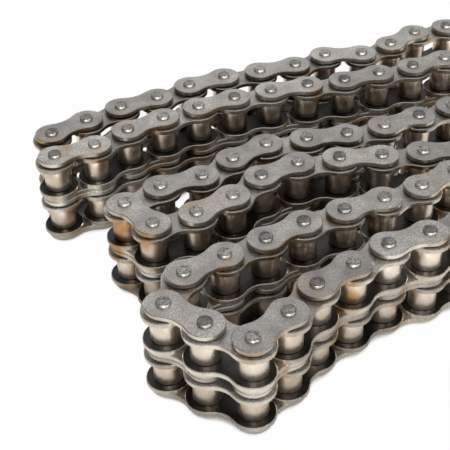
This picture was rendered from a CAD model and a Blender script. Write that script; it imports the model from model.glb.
"""A two-strand riveted roller chain, laid on its side and folded to and fro on a white table."""
import math
import random

import bpy
from mathutils import Matrix, Vector


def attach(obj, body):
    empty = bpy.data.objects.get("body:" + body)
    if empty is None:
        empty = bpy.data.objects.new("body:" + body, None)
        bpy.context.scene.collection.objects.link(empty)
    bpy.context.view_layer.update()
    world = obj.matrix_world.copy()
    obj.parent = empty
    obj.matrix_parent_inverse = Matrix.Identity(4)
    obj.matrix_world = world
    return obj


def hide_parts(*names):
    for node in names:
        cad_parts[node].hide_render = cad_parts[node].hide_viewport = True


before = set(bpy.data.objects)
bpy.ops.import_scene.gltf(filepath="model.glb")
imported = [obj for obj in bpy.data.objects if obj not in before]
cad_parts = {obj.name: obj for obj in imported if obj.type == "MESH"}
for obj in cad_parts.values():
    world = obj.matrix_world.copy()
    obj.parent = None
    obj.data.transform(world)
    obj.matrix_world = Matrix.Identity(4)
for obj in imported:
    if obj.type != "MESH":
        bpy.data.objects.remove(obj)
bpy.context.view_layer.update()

# Sizes of the chain, in metres
MM = 0.001
PITCH = 25.4 * MM
PLATE_END_GAP = 1.27 * MM
OUTER_PLATE_STEP = 3.3 * MM
INNER_WAIST_CUT = 3.6 * MM
OUTER_WAIST_CUT = 3.1 * MM
PLATE_T = 3.0 * MM
LINK_PLAY = 0.55 * MM
REST_GAP = 0.05 * MM
CENTRE_PLATE_GAP = 0.04 * MM
PIN_R = 3.97 * MM
PIN_PROUD = 1.5 * MM
PIN_PLAY = 0.06 * MM
BUSH_WALL = 1.6 * MM
ROLLER_PLAY = 0.1 * MM
ROLLER_WALL = 2.21 * MM
ROLLER_LEN = 15.35 * MM
ROLLER_SIDE_PLAY = 0.2 * MM
PRESS_GAP = 0.02 * MM

INNER_R = (PITCH - PLATE_END_GAP) / 2
OUTER_R = INNER_R - OUTER_PLATE_STEP / 2
BUSH_BORE_R = PIN_R + PIN_PLAY
BUSH_R = BUSH_BORE_R + BUSH_WALL
ROLLER_BORE_R = BUSH_R + ROLLER_PLAY
ROLLER_R = ROLLER_BORE_R + ROLLER_WALL

# Heights above the table
INNER_W = ROLLER_LEN + 2 * ROLLER_SIDE_PLAY
BUSH_LEN = INNER_W + 2 * PLATE_T
STRAND_PITCH = BUSH_LEN + 2 * PLATE_T + CENTRE_PLATE_GAP + LINK_PLAY + REST_GAP
OUTER_LOW_Z = PIN_PROUD
STRAND_LOW_Z = OUTER_LOW_Z + PLATE_T + REST_GAP
CENTRE_LOW_Z = STRAND_LOW_Z + BUSH_LEN + LINK_PLAY
OUTER_HIGH_Z = STRAND_LOW_Z + STRAND_PITCH + BUSH_LEN + LINK_PLAY
PIN_LEN = OUTER_HIGH_Z + PLATE_T + PIN_PROUD

# Directions of the links in degrees from +X, in the order in which the chain runs
RUN_1 = [172, 176, 172, 194, 184, 156, 186, 170, 170, 179, 189, 180, 189, 192]
LEFT_FOLD_A = [255]
RUN_2 = [-1, 15, 6, 3, -2, -7, -12, -14, -7, -7, -3]
RIGHT_FOLD_A = [-30, -110, -150, -170]
RUN_3 = [-180, -182, -187, -197, -194, -170, -162, -185, -166]
LEFT_FOLD_B = [-75]
RUN_4 = [-5, 11, 22, 4, -16, -23, -19]
RIGHT_FOLD_B = [-22, -142, -172]
RUN_5 = [-180, -183, -182, -173, -176, -173]
LEFT_FOLD_C = [-138, -62, -52]
RUN_6 = [19, 26, 12, 11, -4, 2]
DIRECTIONS = (RUN_1 + LEFT_FOLD_A + RUN_2 + RIGHT_FOLD_A + RUN_3 + LEFT_FOLD_B
              + RUN_4 + RIGHT_FOLD_B + RUN_5 + LEFT_FOLD_C + RUN_6)
LINK_COUNT = len(DIRECTIONS)
TRAPPED_RUNS = {"run_2": (16, 26), "run_3": (30, 38), "run_4": (42, 48), "run_5": (50, 56)}

# How finely the pieces are modelled
END_ARC_STEPS = 17
WAIST_ARC_STEPS = 5
HOLE_STEPS = 32
ROLLER_STEPS = 28
BUSH_STEPS = 24
PIN_STEPS = 22
PLATE_RIM = 0.4 * MM
PLATE_RIM_STEPS = 1
ROLLER_RIM = 0.7 * MM
ROLLER_RIM_STEPS = 2
BUSH_RIM = 0.25 * MM
BUSH_RIM_STEPS = 1
PIN_RIM = 0.5 * MM
PIN_RIM_STEPS = 2
PIN_DISH_INSET = 0.35 * MM
PIN_DISH_DEPTH = 0.12 * MM
MERGE_DISTANCE = 0.01 * MM
PLATE_SMOOTH_ANGLE = 30
ROUND_SMOOTH_ANGLE = 35
SHARP_ANGLE = 50
DRILL_LENGTH = 4 * PLATE_T

# Limits on the upright share of a face's normal that tell walls, rims and flat faces apart
WALL_LIMIT = 0.3
RIM_LIMIT = 0.9
FLAT_LIMIT = 0.99

# Finishes
TONE_SEED = 8
STAIN_EDGE = 0.16
BUMP_STRENGTH = 0.5

# Table: its colour, and how much of it glows where it is seen directly and in the steel
TABLE_SIZE = 8.0
TABLE_DROP = 0.02 * MM
TABLE_COLOUR = (0.9, 0.9, 0.9, 1)
TABLE_GLOW_SEEN = 0.98
TABLE_GLOW_MIRRORED = 0.95
SEEN_REACH = 60 * MM
SEEN_OPENNESS = (0.2, 0.38)
MIRRORED_REACH = 120 * MM
MIRRORED_OPENNESS = (0.55, 0.82)

# Room: its colours from the horizon up, and its strength from front to back
ROOM_BANDS = [(0.15, (0.50, 0.49, 0.475, 1)), (0.42, (0.28, 0.28, 0.28, 1)),
              (0.7, (0.42, 0.42, 0.42, 1)), (0.97, (0.62, 0.62, 0.62, 1))]
ROOM_FRONT = -0.5
ROOM_BACK = 0.5
ROOM_FRONT_STRENGTH = 0.9
ROOM_BACK_STRENGTH = 0.5
BACKDROP_COLOUR = (1, 1, 1, 1)

# Lamps: name, place, target and diameter in metres, and power in watts
LAMPS = [("back_soft_box", (0.54, 1.4, 1.05), (0, 0, 0.05), 1.6, 5.1),
         ("front_left_lamp", (-0.8, -1.45, 0.2), (-0.1, -0.1, 0.0), 0.7, 24.0),
         ("front_right_lamp", (0.6, -1.5, 0.2), (0.1, -0.1, 0.0), 0.7, 14.0)]

# Camera: place in metres, angles in degrees, lens and sensor in millimetres
CAMERA_PLACE = (-0.309, -0.4247, 0.3929)
CAMERA_AZIMUTH = 25.78
CAMERA_TILT = 37.49
CAMERA_ROLL = -1.53
CAMERA_LENS = 81.07
CAMERA_SENSOR = 36
CAMERA_NEAR = 0.01


def walk_pins():
    """The pins' places along the chain, with the middle of the whole chain at the origin."""
    places = [(0.0, 0.0)]
    for direction in DIRECTIONS:
        turn = math.radians(direction)
        x, y = places[-1]
        places.append((x + PITCH * math.cos(turn), y + PITCH * math.sin(turn)))
    xs, ys = zip(*places)
    mid_x = (min(xs) + max(xs)) / 2
    mid_y = (min(ys) + max(ys)) / 2
    return [(x - mid_x, y - mid_y) for x, y in places]


PINS = walk_pins()


# Modelling helpers

def deselect_all():
    if bpy.context.object and bpy.context.object.mode != "OBJECT":
        bpy.ops.object.mode_set(mode="OBJECT")
    bpy.ops.object.select_all(action="DESELECT")


def named(name):
    piece = bpy.context.object
    piece.name = name
    piece.data.name = name
    return piece


def activate(piece):
    deselect_all()
    piece.select_set(True)
    bpy.context.view_layer.objects.active = piece


def edit(piece, mode="FACE"):
    activate(piece)
    bpy.ops.object.mode_set(mode="EDIT")
    bpy.ops.mesh.select_mode(type=mode)


def select_faces(piece, wanted):
    """Selects the faces whose normal wanted(normal) picks, from edit mode and back to it."""
    bpy.ops.mesh.select_all(action="DESELECT")
    bpy.ops.object.mode_set(mode="OBJECT")
    for face in piece.data.polygons:
        face.select = bool(wanted(face.normal))
    bpy.ops.object.mode_set(mode="EDIT")


def apply_modifier(piece, kind, **settings):
    activate(piece)
    modifier = piece.modifiers.new(kind.title(), kind)
    for key, value in settings.items():
        setattr(modifier, key, value)
    bpy.ops.object.modifier_apply(modifier=modifier.name)


def round_rims(piece, width, segments):
    apply_modifier(piece, "BEVEL", width=width, segments=segments, limit_method="ANGLE",
                   angle_limit=math.radians(SHARP_ANGLE), harden_normals=False)


def cut_hole(piece, x, radius):
    deselect_all()
    bpy.ops.mesh.primitive_cylinder_add(vertices=HOLE_STEPS, radius=radius, depth=DRILL_LENGTH,
                                        location=(x, 0, 0))
    drill = bpy.context.object
    apply_modifier(piece, "BOOLEAN", operation="DIFFERENCE", object=drill, solver="EXACT")
    bpy.data.objects.remove(drill, do_unlink=True)


def smooth(piece, angle):
    activate(piece)
    bpy.ops.object.shade_smooth_by_angle(angle=math.radians(angle))


# Effects that several finishes share

def new_group(name, inputs, outputs):
    """A shader node group with these named sockets, and its input and output nodes."""
    group = bpy.data.node_groups.new(name, "ShaderNodeTree")
    for label, value in inputs:
        socket = group.interface.new_socket(name=label, in_out="INPUT", socket_type="NodeSocketFloat")
        socket.default_value = value
    for label in outputs:
        group.interface.new_socket(name=label, in_out="OUTPUT", socket_type="NodeSocketFloat")
    return group, group.nodes.new("NodeGroupInput"), group.nodes.new("NodeGroupOutput")


def noise(group, stretch, detail, roughness):
    """A noise texture on the piece's own coordinates, stretched along each axis."""
    place = group.nodes.new("ShaderNodeTexCoord")
    mapping = group.nodes.new("ShaderNodeMapping")
    mapping.inputs["Scale"].default_value = stretch
    texture = group.nodes.new("ShaderNodeTexNoise")
    texture.inputs["Detail"].default_value = detail
    texture.inputs["Roughness"].default_value = roughness
    group.links.new(place.outputs["Object"], mapping.inputs["Vector"])
    group.links.new(mapping.outputs["Vector"], texture.inputs["Vector"])
    return texture


def spread(group, source, low, high):
    """Maps a value from low..high to 0..1 and clips it."""
    node = group.nodes.new("ShaderNodeMapRange")
    node.inputs["From Min"].default_value = low
    node.inputs["From Max"].default_value = high
    group.links.new(source, node.inputs["Value"])
    return node


def tumbled_grain():
    """Clouds of lighter and darker steel, and the fine pitting that tumbling leaves."""
    group, given, result = new_group("tumbled_grain", [("Cloud Scale", 90.0), ("Grain Scale", 1000.0)],
                                     ["Cloud", "Grain"])
    cloud = noise(group, stretch=(1, 1, 1), detail=4, roughness=0.6)
    group.links.new(given.outputs["Cloud Scale"], cloud.inputs["Scale"])
    cloud_spread = spread(group, cloud.outputs["Fac"], low=0.3, high=0.7)
    group.links.new(cloud_spread.outputs["Result"], result.inputs["Cloud"])
    grain = noise(group, stretch=(1, 1, 1), detail=3, roughness=0.65)
    group.links.new(given.outputs["Grain Scale"], grain.inputs["Scale"])
    grain_spread = spread(group, grain.outputs["Fac"], low=0.4, high=0.57)
    group.links.new(grain_spread.outputs["Result"], result.inputs["Grain"])
    return group


def heat_stain():
    """Patches of straw and brown that oil and heat leave on the steel."""
    group, given, result = new_group("heat_stain", [("Patch Scale", 45.0), ("Reach", 0.55)], ["Mask"])
    patch = noise(group, stretch=(1, 1, 0.6), detail=3, roughness=0.55)
    group.links.new(given.outputs["Patch Scale"], patch.inputs["Scale"])
    edge = group.nodes.new("ShaderNodeMapRange")
    group.links.new(patch.outputs["Fac"], edge.inputs["Value"])
    end = group.nodes.new("ShaderNodeMath")
    end.operation = "ADD"
    end.inputs[1].default_value = STAIN_EDGE
    group.links.new(given.outputs["Reach"], edge.inputs["From Min"])
    group.links.new(given.outputs["Reach"], end.inputs[0])
    group.links.new(end.outputs[0], edge.inputs["From Max"])
    group.links.new(edge.outputs["Result"], result.inputs["Mask"])
    return group


def shear_marks():
    """Streaks along the pins, as a press leaves them on the cut edge of a plate."""
    group, given, result = new_group("shear_marks", [("Mark Scale", 900.0)], ["Streak"])
    streak = noise(group, stretch=(1, 1, 0.3), detail=3, roughness=0.7)
    group.links.new(given.outputs["Mark Scale"], streak.inputs["Scale"])
    streak_spread = spread(group, streak.outputs["Fac"], low=0.35, high=0.65)
    group.links.new(streak_spread.outputs["Result"], result.inputs["Streak"])
    return group


GRAIN = tumbled_grain()
STAIN = heat_stain()
MARKS = shear_marks()


# Finishes

def group_node(tree, group, **values):
    node = tree.nodes.new("ShaderNodeGroup")
    node.node_tree = group
    for label, value in values.items():
        node.inputs[label.replace("_", " ")].default_value = value
    return node


def colour_mix(tree, factor, first, second):
    """Mixes two colours, each a colour or a socket, by a socket."""
    mix = tree.nodes.new("ShaderNodeMix")
    mix.data_type = "RGBA"
    tree.links.new(factor, mix.inputs[0])
    for colour, socket in ((first, mix.inputs[6]), (second, mix.inputs[7])):
        if isinstance(colour, tuple):
            socket.default_value = (*colour, 1)
        else:
            tree.links.new(colour, socket)
    return mix.outputs[2]


def value_mix(tree, factor, first, second):
    node = tree.nodes.new("ShaderNodeMapRange")
    node.inputs["To Min"].default_value = first
    node.inputs["To Max"].default_value = second
    tree.links.new(factor, node.inputs["Value"])
    return node.outputs["Result"]


def average(tree, first, second):
    add = tree.nodes.new("ShaderNodeMath")
    add.operation = "ADD"
    tree.links.new(first, add.inputs[0])
    tree.links.new(second, add.inputs[1])
    half = tree.nodes.new("ShaderNodeMath")
    half.operation = "MULTIPLY"
    half.inputs[1].default_value = 0.5
    tree.links.new(add.outputs[0], half.inputs[0])
    return half.outputs[0]


def steel(name, dark, light, stain, reach, rough, depth, evenness, marks=False):
    """Bare steel between a dark and a light tone, stained in patches, with grain or shear marks."""
    material = bpy.data.materials.new(name)
    material.use_nodes = True
    tree = material.node_tree
    shader = tree.nodes["Principled BSDF"]
    shader.inputs["Metallic"].default_value = 1.0
    grain = group_node(tree, GRAIN)
    patches = group_node(tree, STAIN, Reach=reach)
    tone = tree.nodes.new("ShaderNodeAttribute")
    tone.attribute_name = "tone"
    mottle = average(tree, grain.outputs["Cloud"], tone.outputs["Fac"])
    colour = colour_mix(tree, mottle, dark, light)
    colour = colour_mix(tree, patches.outputs["Mask"], colour, stain)
    if marks:
        texture = group_node(tree, MARKS).outputs["Streak"]
    else:
        texture = grain.outputs["Grain"]
    speckle = value_mix(tree, texture, evenness, 1.0)
    colour = colour_mix(tree, speckle, dark, colour)
    tree.links.new(colour, shader.inputs["Base Color"])
    tree.links.new(value_mix(tree, texture, *rough), shader.inputs["Roughness"])
    if depth:
        bump = tree.nodes.new("ShaderNodeBump")
        bump.inputs["Strength"].default_value = BUMP_STRENGTH
        bump.inputs["Distance"].default_value = depth
        tree.links.new(texture, bump.inputs["Height"])
        tree.links.new(bump.outputs["Normal"], shader.inputs["Normal"])
    return material


outer_face_steel = steel("outer_face_steel", dark=(0.26, 0.247, 0.234), light=(0.88, 0.845, 0.805),
                         stain=(0.57, 0.455, 0.325), reach=0.57, rough=(0.34, 0.48),
                         depth=0.03 * MM, evenness=0.28)
inner_face_steel = steel("inner_face_steel", dark=(0.22, 0.21, 0.20), light=(0.75, 0.72, 0.69),
                         stain=(0.47, 0.365, 0.26), reach=0.57, rough=(0.34, 0.48),
                         depth=0.03 * MM, evenness=0.28)
plate_rim_steel = steel("plate_rim_steel", dark=(0.52, 0.48, 0.42), light=(0.92, 0.88, 0.82),
                        stain=(0.5, 0.37, 0.23), reach=0.55, rough=(0.26, 0.3),
                        depth=0, evenness=0.92)
plate_wall_steel = steel("plate_wall_steel", dark=(0.28, 0.235, 0.18), light=(0.92, 0.85, 0.74),
                         stain=(0.42, 0.25, 0.12), reach=0.51, rough=(0.28, 0.33),
                         depth=0, evenness=0.88, marks=True)
oiled_steel = steel("oiled_steel", dark=(0.03, 0.029, 0.028), light=(0.12, 0.117, 0.114),
                    stain=(0.06, 0.04, 0.03), reach=0.58, rough=(0.3, 0.45),
                    depth=0.01 * MM, evenness=0.5)
roller_steel = steel("roller_steel", dark=(0.50, 0.395, 0.30), light=(0.94, 0.83, 0.71),
                     stain=(0.46, 0.23, 0.085), reach=0.56, rough=(0.3, 0.38),
                     depth=0, evenness=0.88)
bush_steel = steel("bush_steel", dark=(0.16, 0.14, 0.12), light=(0.26, 0.23, 0.20),
                   stain=(0.2, 0.15, 0.1), reach=0.55, rough=(0.4, 0.6),
                   depth=0.01 * MM, evenness=0.5)
pin_end_steel = steel("pin_end_steel", dark=(0.075, 0.074, 0.075), light=(0.84, 0.80, 0.76),
                      stain=(0.36, 0.3, 0.235), reach=0.62, rough=(0.34, 0.5),
                      depth=0.01 * MM, evenness=0.2)
pin_side_steel = steel("pin_side_steel", dark=(0.34, 0.32, 0.29), light=(0.66, 0.63, 0.58),
                       stain=(0.36, 0.28, 0.2), reach=0.6, rough=(0.42, 0.52),
                       depth=0.002 * MM, evenness=0.7)


def dress(piece, finishes, choose):
    """Gives a piece its finishes, and each face the one that choose(normal) picks."""
    piece.data.materials.clear()
    for finish in finishes:
        piece.data.materials.append(finish)
    for face in piece.data.polygons:
        face.material_index = choose(face.normal)


# One of each piece, modelled at the origin

def plate_finish(normal):
    """The number of a plate's finish: the cut wall, the rim, the lower face or the upper face."""
    if abs(normal.z) < WALL_LIMIT:
        return 0
    if abs(normal.z) < RIM_LIMIT:
        return 1
    return 3 if normal.z > 0 else 2


def model_plate(name, end_r, waist_cut, hole_r, lower_finish, upper_finish):
    """A waisted plate: a point spun round two ends and two waists, filled, raised and drilled."""
    waist_half = end_r - waist_cut
    waist_r = ((PITCH / 2) ** 2 + waist_half ** 2 - end_r ** 2) / (2 * waist_cut)
    waist_y = waist_half + waist_r
    meet = math.atan2(waist_y, PITCH / 2)
    end_sweep = 2 * math.pi - 2 * meet
    waist_sweep = math.pi - 2 * meet
    deselect_all()
    bpy.ops.mesh.primitive_circle_add(vertices=3, radius=end_r, location=(0, 0, 0))
    piece = named(name)
    edit(piece, "VERT")
    bpy.ops.mesh.select_all(action="SELECT")
    bpy.ops.mesh.merge(type="CENTER")
    bpy.ops.transform.translate(value=(end_r * math.cos(meet), end_r * math.sin(meet), 0))
    arcs = [((0, 0, 0), -end_sweep, END_ARC_STEPS),
            ((PITCH / 2, -waist_y, 0), waist_sweep, WAIST_ARC_STEPS),
            ((PITCH, 0, 0), -end_sweep, END_ARC_STEPS),
            ((PITCH / 2, waist_y, 0), waist_sweep, WAIST_ARC_STEPS)]
    for centre, sweep, steps in arcs:
        bpy.ops.mesh.spin(steps=steps, angle=sweep, center=centre, axis=(0, 0, 1))
    bpy.ops.mesh.select_all(action="SELECT")
    bpy.ops.mesh.remove_doubles(threshold=MERGE_DISTANCE)
    bpy.ops.mesh.edge_face_add()
    bpy.ops.mesh.extrude_region_move(TRANSFORM_OT_translate={"value": (0, 0, PLATE_T)})
    bpy.ops.mesh.select_all(action="SELECT")
    bpy.ops.mesh.normals_make_consistent(inside=False)
    bpy.ops.object.mode_set(mode="OBJECT")
    round_rims(piece, PLATE_RIM, PLATE_RIM_STEPS)
    for x in (0, PITCH):
        cut_hole(piece, x, hole_r)
    smooth(piece, PLATE_SMOOTH_ANGLE)
    dress(piece, [plate_wall_steel, plate_rim_steel, lower_finish, upper_finish], plate_finish)
    return piece


def model_tube(name, outer_r, bore_r, length, rim, rim_steps, steps, finish):
    """A tube: a cylinder whose ends are rounded, then inset to the wall and bridged through."""
    deselect_all()
    bpy.ops.mesh.primitive_cylinder_add(vertices=steps, radius=outer_r, depth=length,
                                        location=(0, 0, length / 2))
    piece = named(name)
    bpy.ops.object.transform_apply(location=True)
    round_rims(piece, rim, rim_steps)
    edit(piece)
    select_faces(piece, lambda normal: abs(normal.z) > FLAT_LIMIT)
    bpy.ops.mesh.inset(thickness=outer_r - rim - bore_r)
    bpy.ops.mesh.bridge_edge_loops()
    bpy.ops.mesh.select_all(action="SELECT")
    bpy.ops.mesh.normals_make_consistent(inside=False)
    bpy.ops.object.mode_set(mode="OBJECT")
    smooth(piece, ROUND_SMOOTH_ANGLE)
    dress(piece, [finish], lambda normal: 0)
    return piece


def model_pin():
    """A pin with rounded rims and slightly dished, upset ends."""
    deselect_all()
    bpy.ops.mesh.primitive_cylinder_add(vertices=PIN_STEPS, radius=PIN_R, depth=PIN_LEN,
                                        location=(0, 0, PIN_LEN / 2))
    piece = named("pin")
    bpy.ops.object.transform_apply(location=True)
    round_rims(piece, PIN_RIM, PIN_RIM_STEPS)
    edit(piece)
    select_faces(piece, lambda normal: abs(normal.z) > FLAT_LIMIT)
    bpy.ops.mesh.inset(thickness=PIN_DISH_INSET)
    bpy.ops.mesh.inset(thickness=PIN_DISH_INSET, depth=-PIN_DISH_DEPTH)
    bpy.ops.object.mode_set(mode="OBJECT")
    smooth(piece, ROUND_SMOOTH_ANGLE)
    dress(piece, [pin_end_steel, pin_side_steel], lambda normal: 0 if abs(normal.z) > RIM_LIMIT else 1)
    return piece


inner_plate = model_plate("inner_plate", INNER_R, INNER_WAIST_CUT, BUSH_R + PRESS_GAP,
                          inner_face_steel, oiled_steel)
outer_plate = model_plate("outer_plate", OUTER_R, OUTER_WAIST_CUT, PIN_R + PRESS_GAP,
                          outer_face_steel, outer_face_steel)
roller = model_tube("roller", ROLLER_R, ROLLER_BORE_R, ROLLER_LEN, ROLLER_RIM, ROLLER_RIM_STEPS,
                    ROLLER_STEPS, roller_steel)
bush = model_tube("bush", BUSH_R, BUSH_BORE_R, BUSH_LEN, BUSH_RIM, BUSH_RIM_STEPS,
                  BUSH_STEPS, bush_steel)
pin = model_pin()


# Places of the pieces

ENDS = (0, 1)
STRANDS = (0, 1)


def at_link(i, along, height):
    turn = Matrix.Rotation(math.radians(DIRECTIONS[i - 1]), 4, "Z")
    x, y = PINS[i - 1]
    return Matrix.Translation((x, y, 0)) @ turn @ Matrix.Translation((along, 0, height))


def inner_plate_places(i):
    """The upper plate of each pair is turned over, so that its inside also faces the rollers."""
    turned = Matrix.Rotation(math.pi, 4, "X")
    places = []
    for s in STRANDS:
        z = STRAND_LOW_Z + s * STRAND_PITCH
        places.append(at_link(i, 0, z))
        places.append(at_link(i, 0, z + BUSH_LEN) @ turned)
    return places


def bush_places(i):
    return [at_link(i, end * PITCH, STRAND_LOW_Z + s * STRAND_PITCH) for s in STRANDS for end in ENDS]


def roller_places(i, ends=ENDS, strands=STRANDS):
    z = STRAND_LOW_Z + PLATE_T + ROLLER_SIDE_PLAY
    return [at_link(i, end * PITCH, z + s * STRAND_PITCH) for s in strands for end in ends]


def outer_plate_places(i):
    return [at_link(i, 0, z) for z in (OUTER_LOW_Z, OUTER_HIGH_Z)]


def centre_plate_places(i):
    return [at_link(i, 0, z) for z in (CENTRE_LOW_Z, CENTRE_LOW_Z + PLATE_T + CENTRE_PLATE_GAP)]


def pin_places(i):
    return [at_link(i, end * PITCH, 0) for end in ENDS]


# Putting the chain together

tones = random.Random(TONE_SEED)


def placed_copy(model, place):
    """A copy of a modelled piece with its own mesh, its place in the mesh and its own tone of steel."""
    copy = model.copy()
    copy.data = model.data.copy()
    copy.data.transform(place)
    tone = copy.data.attributes.new("tone", "FLOAT", "POINT")
    tone.data.foreach_set("value", [tones.random()] * len(copy.data.vertices))
    bpy.context.collection.objects.link(copy)
    return copy


def assemble(node, body, parts):
    """Joins placed copies of the modelled pieces into the piece that stands for one CAD node."""
    copies = [placed_copy(model, place) for model, places in parts for place in places]
    deselect_all()
    for copy in copies:
        copy.select_set(True)
    bpy.context.view_layer.objects.active = copies[0]
    if len(copies) > 1:
        bpy.ops.object.join()
    piece = named(node + "_finished")
    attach(piece, body)
    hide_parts(node)


def assemble_inner_link(i):
    ends = {1: (1,), LINK_COUNT: (0,)}.get(i, ENDS)
    node = f"inner_link_{i:02d}"
    assemble(node, node, [(inner_plate, inner_plate_places(i)), (bush, bush_places(i)),
                                         (roller, roller_places(i, ends))])


def assemble_outer_link(i):
    node = f"outer_link_{i:02d}"
    assemble(node, node, [(outer_plate, outer_plate_places(i)),
                                         (outer_plate, centre_plate_places(i)),
                                         (pin, pin_places(i))])


def assemble_run(run, first, last):
    inner = [i for i in range(first, last + 1) if i % 2]
    outer = [i for i in range(first, last + 1) if not i % 2]
    kinds = [("outer_plates", "plate_steel", outer_plate, outer_plate_places, outer),
             ("centre_plates", "plate_steel", outer_plate, centre_plate_places, outer),
             ("pins", "pin_steel", pin, pin_places, outer),
             ("inner_plates", "plate_steel", inner_plate, inner_plate_places, inner),
             ("bushes", "bush_steel", bush, bush_places, inner),
             ("rollers", "roller_steel", roller, roller_places, inner)]
    for kind, slot, model, places, links in kinds:
        assemble(f"{run}_{kind}", run, [(model, places(i)) for i in links])


def assemble_end_rollers(end_name, i, end):
    for strand, level in zip(STRANDS, ("lower", "upper")):
        node = f"{end_name}_end_roller_{level}"
        assemble(node, node, [(roller, roller_places(i, (end,), (strand,)))])


trapped = {i for first, last in TRAPPED_RUNS.values() for i in range(first, last + 1)}
for link in range(1, LINK_COUNT + 1):
    if link in trapped:
        continue
    if link % 2:
        assemble_inner_link(link)
    else:
        assemble_outer_link(link)
for run_name, (first_link, last_link) in TRAPPED_RUNS.items():
    assemble_run(run_name, first_link, last_link)
assemble_end_rollers("back", 1, 0)
assemble_end_rollers("front", LINK_COUNT, 1)
for model in (inner_plate, outer_plate, roller, bush, pin):
    bpy.data.objects.remove(model, do_unlink=True)


# Table, light and camera

def openness(tree, reach, limits):
    """How far a place on the table is open to the room: 0 between the runs, 1 in the open."""
    hidden = tree.nodes.new("ShaderNodeAmbientOcclusion")
    hidden.inputs["Distance"].default_value = reach
    return spread(tree, hidden.outputs["AO"], *limits).outputs["Result"]


def white_table():
    """A table that shows as white, also in the steel, and still takes some of the chain's shadow."""
    deselect_all()
    bpy.ops.mesh.primitive_plane_add(size=TABLE_SIZE, location=(0, 0, -TABLE_DROP))
    table = named("white_table")
    bpy.ops.object.transform_apply(location=True)
    material = bpy.data.materials.new("white_table")
    material.use_nodes = True
    nodes, links = material.node_tree.nodes, material.node_tree.links
    nodes.clear()
    paint = nodes.new("ShaderNodeBsdfDiffuse")
    paint.inputs["Color"].default_value = TABLE_COLOUR
    glow = nodes.new("ShaderNodeEmission")
    glow.inputs["Strength"].default_value = 1.0
    rays = nodes.new("ShaderNodeLightPath")
    seen_open = openness(material.node_tree, SEEN_REACH, SEEN_OPENNESS)
    mirrored_open = openness(material.node_tree, MIRRORED_REACH, MIRRORED_OPENNESS)
    share = None
    for ray, amount, is_open in (("Is Camera Ray", TABLE_GLOW_SEEN, seen_open),
                                 ("Is Glossy Ray", TABLE_GLOW_MIRRORED, mirrored_open),
                                 ("Is Transmission Ray", TABLE_GLOW_MIRRORED, mirrored_open)):
        level = nodes.new("ShaderNodeMath")
        level.operation = "MULTIPLY"
        level.inputs[1].default_value = amount
        links.new(is_open, level.inputs[0])
        part = nodes.new("ShaderNodeMath")
        part.operation = "MULTIPLY_ADD"
        part.inputs[2].default_value = 0
        links.new(rays.outputs[ray], part.inputs[0])
        links.new(level.outputs[0], part.inputs[1])
        if share:
            links.new(share, part.inputs[2])
        share = part.outputs[0]
    mix = nodes.new("ShaderNodeMixShader")
    links.new(share, mix.inputs[0])
    links.new(paint.outputs[0], mix.inputs[1])
    links.new(glow.outputs[0], mix.inputs[2])
    out = nodes.new("ShaderNodeOutputMaterial")
    links.new(mix.outputs[0], out.inputs["Surface"])
    table.data.materials.append(material)


def soft_room():
    """A pale room: brightest at the horizon and overhead, and brighter in front of the chain than behind.

    The camera sees it as a white backdrop.
    """
    world = bpy.data.worlds.new("soft_room")
    world.use_nodes = True
    nodes, links = world.node_tree.nodes, world.node_tree.links
    nodes.clear()
    place = nodes.new("ShaderNodeTexCoord")
    split = nodes.new("ShaderNodeSeparateXYZ")
    links.new(place.outputs["Generated"], split.inputs[0])
    fade = nodes.new("ShaderNodeValToRGB")
    bands = fade.color_ramp.elements
    while len(bands) < len(ROOM_BANDS):
        bands.new(1.0)
    for band, (height, colour) in zip(bands, ROOM_BANDS):
        band.position = height
        band.color = colour
    links.new(split.outputs["Z"], fade.inputs["Fac"])
    light = nodes.new("ShaderNodeBackground")
    links.new(fade.outputs["Color"], light.inputs["Color"])
    backdrop = nodes.new("ShaderNodeBackground")
    backdrop.inputs["Color"].default_value = BACKDROP_COLOUR
    rays = nodes.new("ShaderNodeLightPath")
    mix = nodes.new("ShaderNodeMixShader")
    links.new(rays.outputs["Is Camera Ray"], mix.inputs[0])
    links.new(light.outputs[0], mix.inputs[1])
    links.new(backdrop.outputs[0], mix.inputs[2])
    strength = spread(world.node_tree, split.outputs["Y"], ROOM_FRONT, ROOM_BACK)
    strength.inputs["To Min"].default_value = ROOM_FRONT_STRENGTH
    strength.inputs["To Max"].default_value = ROOM_BACK_STRENGTH
    links.new(strength.outputs["Result"], light.inputs["Strength"])
    out = nodes.new("ShaderNodeOutputWorld")
    links.new(mix.outputs[0], out.inputs["Surface"])
    bpy.context.scene.world = world


def soft_lamp(name, place, target, size, power):
    data = bpy.data.lights.new(name, "AREA")
    data.shape = "DISK"
    data.size = size
    data.energy = power
    lamp = bpy.data.objects.new(name, data)
    bpy.context.collection.objects.link(lamp)
    lamp.location = place
    lamp.rotation_euler = (Vector(target) - Vector(place)).to_track_quat("-Z", "Y").to_euler()


def photo_camera():
    data = bpy.data.cameras.new("camera")
    data.sensor_width = CAMERA_SENSOR
    data.lens = CAMERA_LENS
    data.clip_start = CAMERA_NEAR
    camera = bpy.data.objects.new("camera", data)
    bpy.context.collection.objects.link(camera)
    aim = (Matrix.Rotation(-math.radians(CAMERA_AZIMUTH), 4, "Z")
           @ Matrix.Rotation(math.radians(90 - CAMERA_TILT), 4, "X")
           @ Matrix.Rotation(math.radians(CAMERA_ROLL), 4, "Z"))
    camera.matrix_world = Matrix.Translation(CAMERA_PLACE) @ aim
    bpy.context.scene.camera = camera


white_table()
soft_room()
for lamp_values in LAMPS:
    soft_lamp(*lamp_values)
photo_camera()
bpy.context.scene.view_settings.view_transform = "Standard"
